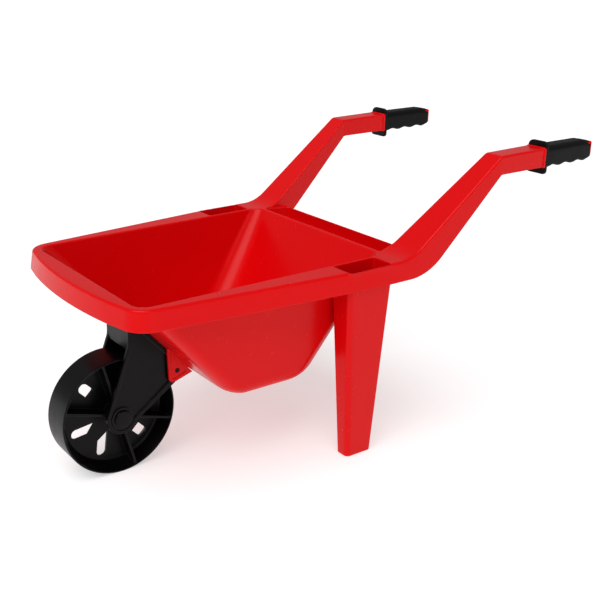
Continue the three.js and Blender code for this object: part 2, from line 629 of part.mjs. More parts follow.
function addNode(name, manifold, look) {
  const mesh = new THREE.Mesh(toGeometry(manifold), new THREE.MeshStandardMaterial(look));
  mesh.name = name;
  wheelbarrow.add(mesh);
}

function addPair(name, manifold, look) {
  addNode(`${name}_left`, manifold, look);
  addNode(`${name}_right`, mirrored(manifold), look);
}

addNode('tray', makeTray(), redPlastic);
addPair('leg', makeLeg(), redPlastic);
addPair('arm', makeArm(), redPlastic);
addPair('bracket', makeEar(), redPlastic);
addPair('grip', makeGrip(), blackRubber);
addNode('fork', makeFork(), blackPlastic);
addNode('wheel', makeWheel(), blackPlastic);
addNode('axle', makeAxle(), steel);
addPair('axle_cap', makeCap(), blackPlastic);
addPair('bracket_pin', makePin(), blackPlastic);

export default wheelbarrow;
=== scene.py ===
import math

import bmesh
import bpy
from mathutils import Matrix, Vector


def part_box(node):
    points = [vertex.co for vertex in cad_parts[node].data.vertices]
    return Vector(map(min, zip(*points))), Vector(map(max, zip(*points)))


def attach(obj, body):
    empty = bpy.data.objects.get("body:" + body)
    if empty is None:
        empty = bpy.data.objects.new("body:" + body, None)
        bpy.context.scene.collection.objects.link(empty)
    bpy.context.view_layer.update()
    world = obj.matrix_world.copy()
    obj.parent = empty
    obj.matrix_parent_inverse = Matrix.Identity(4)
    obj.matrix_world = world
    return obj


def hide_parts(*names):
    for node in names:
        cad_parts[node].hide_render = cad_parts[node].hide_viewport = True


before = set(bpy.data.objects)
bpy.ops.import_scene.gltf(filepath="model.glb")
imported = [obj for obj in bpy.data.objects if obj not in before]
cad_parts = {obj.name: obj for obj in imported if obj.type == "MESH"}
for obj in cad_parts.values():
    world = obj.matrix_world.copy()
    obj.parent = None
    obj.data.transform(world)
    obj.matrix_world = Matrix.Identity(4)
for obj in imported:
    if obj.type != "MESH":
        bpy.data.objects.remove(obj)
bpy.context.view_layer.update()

# A child's plastic wheelbarrow. Sizes are in millimetres and become metres in make_mesh.
# +X points forward to the wheel, +Y to the barrow's left, +Z up.

MM = 0.001


def box_mm(name):
    """Lowest and highest corner of a CAD node, in millimetres."""
    low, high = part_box(name)
    return Vector(low) / MM, Vector(high) / MM


# ---------------------------------------------------------------- sizes

WALL = 2.8
tray_low, tray_high = box_mm("tray")
RIM_TOP = tray_high.z
RIM_SKIRT = 26
RIM_BOTTOM = RIM_TOP - RIM_SKIRT
RIM_FLARE = 4
RIM_EDGE = 3.5
RIM_HALF = tray_high.y
RIM_FRONT = tray_high.x
RIM_BOW = 640
RIM_CORNER = 34
TAPER_START = 38
TAPER = 0.096
RAIL_REAR = tray_low.x
RAIL_EDGE = 3
RAIL_HALF = 136
RIM_ROOM_REAR = -14
RIM_REAR = -38
RAIL_FRONT = -16

MOUTH_FRONT = RIM_FRONT - 29
MOUTH_REAR = RAIL_REAR + 42.4
MOUTH_HALF = 142
LIP = 2
EDGE_ROUND = 1.3
HOPPER_CORNER = 22
REAR_CORNER_GROWTH = 24
HOPPER_FLOOR = tray_low.z
HOPPER_FLOOR_EDGE = 15
FRONT_SLOPE = math.radians(47.7)
REAR_SLOPE = math.radians(58.4)
SIDE_SLOPE = math.radians(84)

TROUGH_FRONT = -33
TROUGH_REAR = -67
TROUGH_HALF_FRONT = 132
TROUGH_HALF_REAR = 119
TROUGH_DEPTH = 21
TROUGH_CORNER = 4

leg_low, leg_high = box_mm("leg_left")
LEG_TOP = (leg_low.x, leg_high.x, 144.5, leg_high.y + 0.6)
LEG_FOOT = (leg_low.x + 9.7, leg_high.x - 21.5, leg_low.y, 162.5)
LEG_CORNER = 7
LEG_EDGE = 3
LEG_FOOT_EDGE = 2.5
POCKET = (LEG_TOP[0] + 2, LEG_TOP[1] - 2, 145.5, 179.5)

ARM_TIP = box_mm("arm_left")[0].x
ARM_END = -284
ARM_TOP = 388
ARM_BOTTOM = 362.5
ARM_TOP_START = -45.5
ARM_TOP_SLOPE = math.radians(37.3)
ARM_TOP_FILLET = 60
ARM_LOW_START = -72
ARM_LOW_SLOPE = math.radians(42.5)
ARM_LOW_FILLET = 80
ARM_KINK = 7
LINE_FRONT = 120
ARM_EDGE = 3.2
ARM_INNER = (129, 150)
ARM_OUTER = (RIM_HALF, 181)
ARM_MIDDLE = (150 + 181) / 2

COLLAR_PROUD = 1.6
COLLAR_LENGTH = 3.5
EAR_PANEL_DEPTH = 0.8

grip_low, grip_high = box_mm("grip_left")
SLEEVE_HALF = 15.5
SLEEVE_END_HALF = 14.3
SLEEVE_TOP = 390.6
SLEEVE_BOTTOM = 360.9
PEG_HALF = (13, 9.5)
PEG_MIDDLE = 376.5
TIP_RISE = 1.3
SLEEVE_CROWN = 8.5
SLEEVE_EDGE = 1.2
SLEEVE_PLACES = 48
FLANGE_THICK = 5
CHAMFER_START = 14
CHAMFER_DROP = 2.6
FINGER_PITCH = 27
FINGER_FIRST = 14.5
FINGER_DEPTH = 2.4

wheel_low, wheel_high = box_mm("wheel")
AXLE = (wheel_low + wheel_high) / 2
WHEEL_RADIUS = (wheel_high.z - wheel_low.z) / 2
TREAD_HALF = 23.5
TREAD_ROUND = 1.4
TREAD_EDGE = 2
DISH_FLOOR = 70
DISH_FILLET = 2.5
WHEEL_STEPS = 192
WEB_HALF = 2
HUB_RADIUS = 14
HUB_HALF = wheel_high.y
BORE_RADIUS = 4.1
RIB_THICK = 3
RIB_SET_IN = 1.5
RIB_ANGLES = (17, 75)
SLOT_HALF = 6.75
SLOT_OUTER = 64
SLOT_INNER = 45
SHORT_SLOT = 46
LONG_SLOTS = -45
LONG_SLOT_SPREAD = 24.9
LONG_SLOT_LEAN = 12.7
SPOKE_HALF = 16
SPOKE_TAPER = math.radians(8.7)

CHEEK_INNER = 25
CHEEK_OUTER = 28
FORK_FACE = box_mm("fork")[1].y
FORK_END = 22
FORK_FRONT = AXLE.x - 12.5
SHOULDER_HEIGHT = AXLE.z + WHEEL_RADIUS + 18
SHOULDER_BACK = 12
SHOULDER_HALF = 3
SHOULDER_ROUND = 4
UNDER_SLOPE = math.radians(33.9)
UNDER_OFFSET = 18
BORDER = 5
BOSS_RADIUS = 15
CHEEK_SOFTNESS = 0.9
BRIDGE_THICK = 3
BRIDGE_OVER_WHEEL = 11

CAP_EDGE = 1.4
CAP_DOME = 0.5

pin_low, pin_high = box_mm("bracket_pin_left")
PIN = (pin_low + pin_high) / 2
PIN_RADIUS = (pin_high.z - pin_low.z) / 2
PIN_HEAD = 3.2
PIN_BOSS_RADIUS = PIN_RADIUS + 4

# ---------------------------------------------------------------- mesh helpers


def make_mesh(name, points, faces):
    """A closed body from points in millimetres, with its faces turned outwards."""
    mesh = bpy.data.meshes.new(name)
    mesh.from_pydata([Vector(p) * MM for p in points], [], faces)
    shell = bmesh.new()
    shell.from_mesh(mesh)
    bmesh.ops.remove_doubles(shell, verts=shell.verts, dist=1e-6)
    bmesh.ops.recalc_face_normals(shell, faces=shell.faces)
    shell.to_mesh(mesh)
    shell.free()
    piece = bpy.data.objects.new(name, mesh)
    bpy.context.scene.collection.objects.link(piece)
    return piece


def loft(name, rings):
    """A skin over rings that all have the same number of points, closed at both ends."""
    count = len(rings[0])
    faces = []
    for start in range(0, (len(rings) - 1) * count, count):
        for k in range(count):
            after = (k + 1) % count
            faces.append((start + k, start + after, start + count + after, start + count + k))
    last = (len(rings) - 1) * count
    faces += [tuple(reversed(range(count))), tuple(range(last, last + count))]
    return make_mesh(name, [p for ring in rings for p in ring], faces)


def rounded(corners, steps=6):
    """An outline from (u, v, radius) corners, with each radius turned into an arc."""
    outline = []
    for i, (u, v, radius) in enumerate(corners):
        if radius <= 0:
            outline.append((u, v))
            continue
        corner = Vector((u, v))
        before = (Vector(corners[i - 1][:2]) - corner).normalized()
        after = (Vector(corners[(i + 1) % len(corners)][:2]) - corner).normalized()
        half = before.angle(after) / 2
        centre = corner + (before + after).normalized() * radius / math.sin(half)
        start = corner + before * radius / math.tan(half) - centre
        end = corner + after * radius / math.tan(half) - centre
        turn = math.atan2(start.x * end.y - start.y * end.x, start.dot(end))
        for k in range(steps + 1):
            angle = turn * k / steps
            cosine, sine = math.cos(angle), math.sin(angle)
            point = (start.x * cosine - start.y * sine, start.x * sine + start.y * cosine)
            outline.append((centre.x + point[0], centre.y + point[1]))
    return outline


def rectangle(x0, x1, y0, y1, radius, inset=0):
    """Corners of a rectangle with rounded corners."""
    left, right, near, far = x0 + inset, x1 - inset, y0 + inset, y1 - inset
    soft = max(radius - inset, 0.4)
    return [(left, near, soft), (right, near, soft), (right, far, soft), (left, far, soft)]


def level(outline, z):
    return [(x, y, z) for x, y in outline]


def arc(count):
    """Sine and cosine pairs of a quarter turn."""
    return [(math.sin(math.pi / 2 * k / count), math.cos(math.pi / 2 * k / count)) for k in range(count + 1)]


def slab(name, outline, y0, y1):
    """An outline seen from the side, with a thickness across the barrow."""
    return loft(name, [[(x, y, z) for x, z in outline] for y in (y0, y1)])


def ring(centre, radius, steps):
    """A circle seen from the side."""
    angles = [math.tau * k / steps for k in range(steps)]
    return [(centre.x + radius * math.cos(a), centre.z + radius * math.sin(a)) for a in angles]


def turned(name, centre, profile, steps=96):
    """A round body about a line across the barrow, from (radius, y) pairs."""
    return loft(name, [[(x, y, z) for x, z in ring(centre, radius, steps)] for radius, y in profile])


def bake(piece):
    """Turns the modifiers' result into the piece's own mesh."""
    result = bpy.data.meshes.new_from_object(piece.evaluated_get(bpy.context.evaluated_depsgraph_get()))
    piece.modifiers.clear()
    piece.data = result
    return piece


def combine(piece, tool, operation):
    """Joins or cuts with another closed body, which is used up."""
    modifier = piece.modifiers.new("combine", "BOOLEAN")
    modifier.solver = "MANIFOLD"
    modifier.operation = operation
    modifier.object = tool
    bake(piece)
    bpy.data.objects.remove(tool)
    return piece


def join(piece, tool):
    return combine(piece, tool, "UNION")


def cut(piece, tool):
    return combine(piece, tool, "DIFFERENCE")


def mirrored(piece):
    """A copy on the barrow's other side."""
    mesh = piece.data.copy()
    for vertex in mesh.vertices:
        vertex.co.y = -vertex.co.y
    mesh.flip_normals()
    twin = bpy.data.objects.new(piece.name + "_twin", mesh)
    bpy.context.scene.collection.objects.link(twin)
    return twin


def smooth_by_angle(piece, degrees=32):
    """Smooth faces that meet gently and a crisp edge where they don't."""
    shell = bmesh.new()
    shell.from_mesh(piece.data)
    for face in shell.faces:
        face.smooth = True
    for edge in shell.edges:
        edge.smooth = edge.is_manifold and edge.calc_face_angle(0) < math.radians(degrees)
    shell.to_mesh(piece.data)
    shell.free()
    even = piece.modifiers.new("even_normals", "WEIGHTED_NORMAL")
    even.keep_sharp = True
    even.weight = 80
    return piece


def soften(piece, width, segments=3, degrees=38):
    """Small rounded edges, as a mould leaves them."""
    edge = piece.modifiers.new("soft_edges", "BEVEL")
    edge.width = width * MM
    edge.segments = segments
    edge.limit_method = "ANGLE"
    edge.angle_limit = math.radians(degrees)
    return bake(piece)


# ---------------------------------------------------------------- red moulding


def wall_run(z, slope):
    """How far a sloping wall has come in between the rim and a height."""
    return (RIM_TOP - z) / math.tan(slope)


def front_wall(x):
    """Height of the front wall's outer face at a place along the barrow."""
    front = MOUTH_FRONT + WALL / math.sin(FRONT_SLOPE)
    return RIM_TOP - (front - x) * math.tan(FRONT_SLOPE)


def hopper_ring(z, inset):
    """The hopper's section at a height, set in from its outer walls; its rear corners widen downwards."""
    rear = MOUTH_REAR + (inset - WALL) / math.sin(REAR_SLOPE) + wall_run(z, REAR_SLOPE)
    front = MOUTH_FRONT - (inset - WALL) / math.sin(FRONT_SLOPE) - wall_run(z, FRONT_SLOPE)
    half = MOUTH_HALF - (inset - WALL) / math.sin(SIDE_SLOPE) - wall_run(z, SIDE_SLOPE)
    corner = HOPPER_CORNER - inset
    rear_corner = corner + REAR_CORNER_GROWTH * (RIM_TOP - z) / (RIM_TOP - HOPPER_FLOOR)
    corners = [
        (rear, -half, rear_corner), (front, -half, corner), (front, half, corner), (rear, half, rear_corner),
    ]
    return level(rounded(corners, 10), z)


def hopper(name, inset, lip):
    """The hopper as a solid; with a lip its mouth widens in a small curve and runs out above the rim."""
    floor = HOPPER_FLOOR + inset
    edge = HOPPER_FLOOR_EDGE - inset
    rings = [
        hopper_ring(floor + edge * (1 - sine), inset + 0.6 * edge * (1 - cosine))
        for cosine, sine in arc(7)
    ]
    if lip:
        rings += [
            hopper_ring(RIM_TOP - LIP * (1 - sine), inset - LIP * (1 - cosine)) for sine, cosine in arc(5)
        ]
        rings.append(level([p[:2] for p in rings[-1]], RIM_TOP + 3))
    else:
        rings.append(hopper_ring(RIM_TOP - WALL / 2, inset))
    return loft(name, rings)


def rim_outline(inset, rear):
    """The rim from above: bowed front, tapering sides, straight rear."""
    bow = RIM_BOW - inset
    centre = RIM_FRONT - RIM_BOW
    corner_y = RIM_HALF - TAPER * (RIM_FRONT - RIM_CORNER - TAPER_START) - inset
    corner_x = centre + math.sqrt(bow**2 - corner_y**2)
    bow_half = math.asin((corner_y - 1.6 * RIM_CORNER) / bow)
    front = [
        (centre + bow * math.cos(a), bow * math.sin(a), 0)
        for a in [bow_half * (k / 8 - 1) for k in range(17)]
    ]
    half = RIM_HALF - inset
    radius = RIM_CORNER - inset
    return rounded(
        [(rear, -half, 0), (TAPER_START, -half, 0), (corner_x, -corner_y, radius), *front]
        + [(corner_x, corner_y, radius), (TAPER_START, half, 0), (rear, half, 0)],
        12,
    )


def lean(z):
    """How far the skirt stands back from its lower edge at a height."""
    return RIM_FLARE * (z - RIM_BOTTOM) / RIM_SKIRT


def make_rim():
    """The rolled rim with its skirt, open below."""
    rings = [
        level(rim_outline(0.5, RIM_REAR), RIM_BOTTOM), level(rim_outline(0, RIM_REAR), RIM_BOTTOM + 0.6),
    ]
    start = RIM_TOP - RIM_EDGE
    rings += [
        level(rim_outline(lean(start) + RIM_EDGE * (1 - cosine), RIM_REAR), start + RIM_EDGE * sine)
        for sine, cosine in arc(6)
    ]
    rim = loft("red_moulding", rings)
    under = [level(rim_outline(WALL + lean(z), RIM_ROOM_REAR), z) for z in (RIM_BOTTOM - 1, RIM_TOP - WALL)]
    return cut(rim, loft("under_rim", under))


def make_rail():
    """The flat behind the hopper that carries the trough."""
    side = rounded([
        (RAIL_FRONT, RIM_BOTTOM, 0), (RAIL_FRONT, RIM_TOP, 0),
        (RAIL_REAR, RIM_TOP, RAIL_EDGE), (RAIL_REAR, RIM_BOTTOM, 0),
    ], 5)
    front, rear = RAIL_FRONT - 1, RAIL_REAR + WALL
    low, high = RIM_BOTTOM - 1, RIM_TOP - WALL
    hollow = [(front, low), (front, high), (rear, high), (rear, low)]
    inside = RAIL_HALF - 10
    return cut(slab("rail", side, -RAIL_HALF, RAIL_HALF), slab("rail_hollow", hollow, -inside, inside))


def trough_ring(z, inset):
    """The trough's outline at a height: wider at its front than at its rear."""
    rear, front = TROUGH_REAR + inset, TROUGH_FRONT - inset
    half_rear, half_front = TROUGH_HALF_REAR - inset, TROUGH_HALF_FRONT - inset
    corners = [
        (rear, -half_rear, TROUGH_CORNER), (front, -half_front, TROUGH_CORNER),
        (front, half_front, TROUGH_CORNER), (rear, half_rear, TROUGH_CORNER),
    ]
    return level(rounded(corners, 5), z)


def make_trough(inset, lip):
    """The trough's walls as a block, or with a lip the room inside them."""
    bottom = RIM_TOP - TROUGH_DEPTH - inset
    if not lip:
        return loft("trough_walls", [trough_ring(bottom, -WALL), trough_ring(RIM_TOP - 1, -WALL)])
    rings = [trough_ring(bottom + 3 * (1 - sine), 3 * (1 - cosine)) for cosine, sine in arc(4)]
    rings += [
        trough_ring(RIM_TOP - EDGE_ROUND * (1 - sine), -EDGE_ROUND * (1 - cosine)) for sine, cosine in arc(4)
    ]
    rings.append(trough_ring(RIM_TOP + 20, -EDGE_ROUND))
    return loft("trough", rings)


def between(a, b, share):
    """Values part of the way from one list's to another's."""
    return [p + (q - p) * share for p, q in zip(a, b)]


def leg_ring(z, inset, top, foot):
    """A leg's section at a height."""
    x0, x1, y0, y1 = between(foot, top, max(z, 0) / RIM_TOP)
    corners = rectangle(x0, x1, y0, y1, LEG_EDGE, inset)
    corners[2] = (*corners[2][:2], max(LEG_CORNER - inset, 0.4))
    return level(rounded(corners, 6), z)


def make_leg():
    """A leg as a solid, tapering down to its foot."""
    rings = [
        leg_ring(LEG_FOOT_EDGE * (1 - sine), LEG_FOOT_EDGE * (1 - cosine), LEG_TOP, LEG_FOOT)
        for cosine, sine in arc(4)
    ]
    rings.append(leg_ring(RIM_TOP - WALL / 2, 0, LEG_TOP, LEG_FOOT))
    return loft("leg", rings)


def make_pocket():
    """The room inside a leg, with a softened edge where it opens in the rim."""
    foot = [v + d for v, d in zip(LEG_FOOT, (WALL, -WALL, WALL, -WALL))]
    rings = [leg_ring(WALL, 0, POCKET, foot)]
    rings += [
        leg_ring(RIM_TOP - EDGE_ROUND * (1 - sine), -EDGE_ROUND * (1 - cosine), POCKET, foot)
        for sine, cosine in arc(4)
    ]
    rings.append(level([p[:2] for p in rings[-1]], RIM_TOP + 3))
    return loft("pocket", rings)


def side_line(start_z, end_z, start_x, slope, fillet, kink, rise):
    """Top or bottom of the arm seen from the side, from the rim back to the grip."""
    kink_x = start_x - (end_z - start_z) / math.tan(slope)
    line = [
        (LINE_FRONT, start_z, 0), (start_x, start_z, fillet),
        (kink_x, end_z, kink), (ARM_END, end_z + rise, 0),
    ]
    on_floor = [(ARM_END, 0, 0), (LINE_FRONT, 0, 0)]
    return sorted(rounded([*line, *on_floor], 10)[: -len(on_floor)])


def height_at(line, x):
    """The height of a side line at a place along the barrow."""
    for (x0, z0), (x1, z1) in zip(line, line[1:]):
        if x0 <= x <= x1:
            return z0 + (z1 - z0) * (x - x0) / max(x1 - x0, 1e-9)
    return line[0][1] if x < line[0][0] else line[-1][1]


def arm_width(x, inset):
    """Inner and outer face of the arm, and how far its outer face leans, at a place along it."""
    kink_x = ARM_TOP_START - (ARM_TOP - RIM_TOP) / math.tan(ARM_TOP_SLOPE)
    share = min(max((ARM_TOP_START - x) / (ARM_TOP_START - kink_x), 0), 1)
    inner = ARM_INNER[0] + (ARM_INNER[1] - ARM_INNER[0]) * share + inset
    outer = ARM_OUTER[0] + (ARM_OUTER[1] - ARM_OUTER[0]) * share - inset
    if x > TAPER_START:
        outer -= TAPER * (x - TAPER_START)
    return inner, outer, RIM_FLARE * (1 - share)


def arm_section(x, top, bottom, inset, edge):
    """The arm's section across the barrow at a place along it."""
    inner, outer, flare = arm_width(x, inset)
    corners = [
        (inner, bottom, 0), (inner, top, edge * 0.8), (outer - flare, top, edge), (outer, bottom, 0),
    ]
    return [(x, y, z) for y, z in rounded(corners, 5)]


def arm_loft(name, inset, below, edge, front):
    top_line = side_line(RIM_TOP, ARM_TOP, ARM_TOP_START, ARM_TOP_SLOPE, ARM_TOP_FILLET, ARM_KINK, 1)
    low_line = side_line(RIM_BOTTOM, ARM_BOTTOM, ARM_LOW_START, ARM_LOW_SLOPE, ARM_LOW_FILLET, ARM_KINK, 0)
    stations = sorted({round(x, 3) for x, z in top_line + low_line if ARM_END + inset < x < front})
    stations = [ARM_END + inset, *stations, front]
    rings = [
        arm_section(x, height_at(top_line, x) - inset, height_at(low_line, x) - below, inset, edge)
        for x in stations
    ]
    return loft(name, rings)


def make_arm():
    """The arm from the rim back to the grip, open below."""
    arm = arm_loft("arm", 0.03, 0, ARM_EDGE, 30)
    cut(arm, arm_loft("arm_hollow", WALL, 6, 1.5, 25))
    return arm


def peg_corners(half_y, half_z):
    """The peg's section from its half width and half height, with slightly rounded corners."""
    inner, outer = ARM_MIDDLE - half_y, ARM_MIDDLE + half_y
    low, high = PEG_MIDDLE - half_z, PEG_MIDDLE + half_z
    return [(inner, low, 2), (outer, low, 2), (outer, high, 2), (inner, high, 2)]


def make_spigot():
    """The arm's end bead, and the peg that the grip is pushed onto."""
    rear = ARM_TIP
    half_y, half_z = PEG_HALF
    inner, outer = ARM_INNER[1] - COLLAR_PROUD, ARM_OUTER[1] + COLLAR_PROUD
    low, high = ARM_BOTTOM - 1, ARM_TOP + COLLAR_PROUD
    bead = rounded([(inner, low, 1.5), (outer, low, 1.5), (outer, high, 4), (inner, high, 3)], 4)
    peg = rounded(peg_corners(half_y, half_z), 4)
    tip = rounded(peg_corners(half_y + 0.6, half_z + TIP_RISE), 4)
    collar = loft("collar", [[(x, y, z) for y, z in bead] for x in (ARM_END, ARM_END + COLLAR_LENGTH)])
    soften(collar, 0.8)
    join(collar, loft("peg", [[(x, y, z) for y, z in peg] for x in (rear + 1, ARM_END + 1)]))
    return join(collar, loft("tip", [[(x, y, z) for y, z in tip] for x in (rear, grip_low.x - 0.1)]))


def make_bracket():
    """The ear under the front wall that the fork is pinned to."""
    low, high = box_mm("bracket_left")
    face = rounded([
        (low.x, front_wall(low.x), 0), (high.x - 12, low.z, 6), (high.x - 2, low.z, 5),
        (high.x, front_wall(high.x) + 2, 0),
    ], 5)
    panel_low, panel_rear = low.z + 4, low.x + 9
    panel = rounded([
        (panel_rear, front_wall(low.x) + 3, 1), (high.x - 11, panel_low, 3), (high.x - 5.5, panel_low, 2.5),
        (high.x - 3.5, front_wall(high.x) + 8, 0), (panel_rear, front_wall(panel_rear) + 5, 0),
    ], 4)
    ear = slab("bracket", face, low.y, high.y - EAR_PANEL_DEPTH)
    border = slab("bracket_border", face, high.y - 2, high.y)
    cut(border, slab("bracket_panel", panel, high.y - 3, high.y + 1))
    join(ear, border)
    return cut(ear, slab("pin_hole", ring(PIN, PIN_HEAD + 0.2, 32), low.y - 1, high.y + 1))


def make_red_moulding():
    """Everything red, joined into the one moulding that the real object has."""
    body = make_rim()
    join(body, make_rail())
    join(body, hopper("hopper", 0, False))
    join(body, make_trough(WALL, False))
    leg, arm, spigot, bracket = make_leg(), make_arm(), make_spigot(), make_bracket()
    pocket = make_pocket()
    for part in (leg, arm, spigot, bracket):
        join(body, mirrored(part))
        join(body, part)
    cut(body, hopper("mouth", WALL, True))
    cut(body, make_trough(0, True))
    cut(body, mirrored(pocket))
    cut(body, pocket)
    return smooth_by_angle(body)


# ---------------------------------------------------------------- copies about the axle


def copies_tree():
    """Geometry Nodes: copies of a piece, each one a step and a turn about Y further on."""
    tree = bpy.data.node_groups.new("copies", "GeometryNodeTree")
    sockets = {}
    for label, kind in (("piece", "Geometry"), ("count", "Int"), ("step", "Vector"), ("turn", "Float"),
                        ("finish", "Material")):
        made = tree.interface.new_socket(label, in_out="INPUT", socket_type="NodeSocket" + kind)
        sockets[label] = made.identifier
    tree.interface.new_socket("result", in_out="OUTPUT", socket_type="NodeSocketGeometry")
    given = add(tree, "NodeGroupInput").outputs
    places = add(tree, "GeometryNodeMeshLine", {"Count": given["count"], "Offset": given["step"]},
                 mode="OFFSET")
    number = add(tree, "GeometryNodeInputIndex")
    angle = add(tree, "ShaderNodeMath", {0: number.outputs["Index"], 1: given["turn"]}, operation="MULTIPLY")
    facing = add(tree, "ShaderNodeCombineXYZ", {"Y": angle.outputs["Value"]})
    placed = add(tree, "GeometryNodeInstanceOnPoints",
                 {"Points": places.outputs["Mesh"], "Instance": given["piece"],
                  "Rotation": facing.outputs["Vector"]})
    real = add(tree, "GeometryNodeRealizeInstances", {"Geometry": placed.outputs["Instances"]})
    painted = add(tree, "GeometryNodeSetMaterial",
                  {"Geometry": real.outputs["Geometry"], "Material": given["finish"]})
    out = tree.nodes.new("NodeGroupOutput")
    tree.links.new(painted.outputs["Geometry"], out.inputs["result"])
    return tree, sockets


def copied(piece, count, step, turn, finish):
    """A piece made at the middle of the world becomes several, as one plain mesh."""
    tree, sockets = copies_tree()
    modifier = piece.modifiers.new("copies", "NODES")
    modifier.node_group = tree
    values = {"count": count, "step": [v * MM for v in step], "turn": turn, "finish": finish}
    for label, value in values.items():
        modifier[sockets[label]] = value
    return bake(piece)


def to_axle(piece):
    """Moves a piece's points from the middle of the world to the wheel's axle."""
    for vertex in piece.data.vertices:
        vertex.co += Vector((AXLE.x, 0, AXLE.z)) * MM
    return piece


# ---------------------------------------------------------------- wheel


def turned_about(points, centre, degrees):
    """Flat points turned about a centre, from forward towards up."""
    cosine, sine = math.cos(math.radians(degrees)), math.sin(math.radians(degrees))
    return [
        (centre[0] + (x - centre[0]) * cosine - (z - centre[1]) * sine,
         centre[1] + (x - centre[0]) * sine + (z - centre[1]) * cosine)
        for x, z in points
    ]


def slot_outline(angle, lean, inner):
    """A slot in the wheel's web: square towards the axle, round at its outer end."""
    end = SLOT_OUTER - SLOT_HALF
    turns = [math.pi * (k / 16 - 0.5) for k in range(17)]
    tip = [(end + SLOT_HALF * math.cos(a), SLOT_HALF * math.sin(a)) for a in turns]
    outline = [(inner, -SLOT_HALF), *tip, (inner, SLOT_HALF)]
    return turned_about(turned_about(outline, (end, 0), lean), (0, 0), angle)


def make_slots():
    """Two short slots and two pairs of long ones, cut through the web."""
    reach = 2 * WEB_HALF
    slots = slab("slots", slot_outline(SHORT_SLOT, 0, SLOT_INNER), -reach, reach)
    tip_half = SPOKE_HALF - WHEEL_RADIUS * math.tan(SPOKE_TAPER)
    wedge = [(0, -SPOKE_HALF), (WHEEL_RADIUS, -tip_half), (WHEEL_RADIUS, tip_half), (0, SPOKE_HALF)]
    for side in (-1, 1):
        outline = slot_outline(LONG_SLOTS + side * LONG_SLOT_SPREAD, side * LONG_SLOT_LEAN, HUB_RADIUS)
        slot = slab("long_slot", outline, -reach, reach)
        cut(slot, slab("spoke", turned_about(wedge, (0, 0), LONG_SLOTS), -2 * reach, 2 * reach))
        join(slots, slot)
    return to_axle(copied(slots, 2, (0, 0, 0), math.pi, BLACK))


def make_rib(angle):
    """A plate from the hub to the tread, and its twin across the axle."""
    half = RIB_THICK / 2
    start, end = HUB_RADIUS - 2, WHEEL_RADIUS - 1
    outline = [(start, -half), (end, -half), (end, half), (start, half)]
    edge = TREAD_HALF - RIB_SET_IN
    rib = slab("rib", turned_about(outline, (0, 0), angle), -edge, edge)
    return to_axle(copied(rib, 2, (0, 0, 0), math.pi, BLACK))


def dish(side):
    """The room between tread and hub on one side of the web."""
    slope = (WHEEL_RADIUS - TREAD_EDGE - DISH_FLOOR) / (TREAD_HALF - WEB_HALF)
    profile = []
    for sine, cosine in arc(5):
        out = DISH_FILLET * (1 - cosine)
        profile.append((DISH_FLOOR + slope * out - DISH_FILLET * (1 - sine), side * (WEB_HALF + out)))
    past = TREAD_HALF + 1
    profile.append((DISH_FLOOR + slope * (past - WEB_HALF), side * past))
    return turned("dish", AXLE, profile, WHEEL_STEPS)


def make_wheel():
    """Tread, web, hub and ribs as one moulding, with the slots and the axle's bore cut through."""
    face, radius = TREAD_HALF, WHEEL_RADIUS
    near = [
        (radius - TREAD_ROUND * (1 - sine), TREAD_ROUND * (1 - cosine) - face) for sine, cosine in arc(4)
    ]
    wheel = turned("wheel_moulding", AXLE, near + [(r, -y) for r, y in reversed(near)], WHEEL_STEPS)
    for side in (-1, 1):
        cut(wheel, dish(side))
    cut(wheel, make_slots())
    hub = [(HUB_RADIUS - 1, -HUB_HALF), (HUB_RADIUS, 1 - HUB_HALF), (HUB_RADIUS, HUB_HALF - 1),
           (HUB_RADIUS - 1, HUB_HALF)]
    join(wheel, turned("hub", AXLE, hub))
    for angle in RIB_ANGLES:
        join(wheel, make_rib(angle))
    cut(wheel, turned("bore", AXLE, [(BORE_RADIUS, -2 * HUB_HALF), (BORE_RADIUS, 2 * HUB_HALF)], 48))
    return smooth_by_angle(wheel)


# ---------------------------------------------------------------- fork, caps and pins


def under_wall(x):
    """Height just under the hopper's front wall."""
    return front_wall(x) - 0.5


def cheek_outline(inset):
    """A fork cheek from the side, with all its edges moved in."""
    radius = FORK_END - inset
    shoulder = Vector((-SHOULDER_BACK - inset, SHOULDER_HEIGHT - AXLE.z))
    start = math.atan2(shoulder.y, shoulder.x) - math.acos(radius / shoulder.length)
    under = UNDER_OFFSET - inset * UNDER_OFFSET / FORK_END
    along = math.sqrt(radius**2 - under**2)
    back, down = math.cos(UNDER_SLOPE), math.sin(UNDER_SLOPE)
    foot = (-under * down - along * back, -under * back + along * down)
    stop = math.atan2(foot[1], foot[0]) - (math.tau if foot[1] > 0 else 0)
    turns = [start + (stop - start) * k / 24 for k in range(25)]
    end = [(AXLE.x + radius * math.cos(a), AXLE.z + radius * math.sin(a), 0) for a in turns]
    x, z = end[-1][:2]
    run = (under_wall(x) - z) / (math.tan(UNDER_SLOPE) + math.tan(FRONT_SLOPE))
    rear = (x - run + 1.5 * inset, z + run * math.tan(UNDER_SLOPE), 1.5)
    front = FORK_FRONT - inset
    jog = [
        (front, SHOULDER_HEIGHT + SHOULDER_HALF, SHOULDER_ROUND),
        (AXLE.x + shoulder.x, SHOULDER_HEIGHT - SHOULDER_HALF, SHOULDER_ROUND),
    ]
    return rounded([*end, rear, (front, under_wall(front) - 1.5 * inset, 0), *jog], 5)


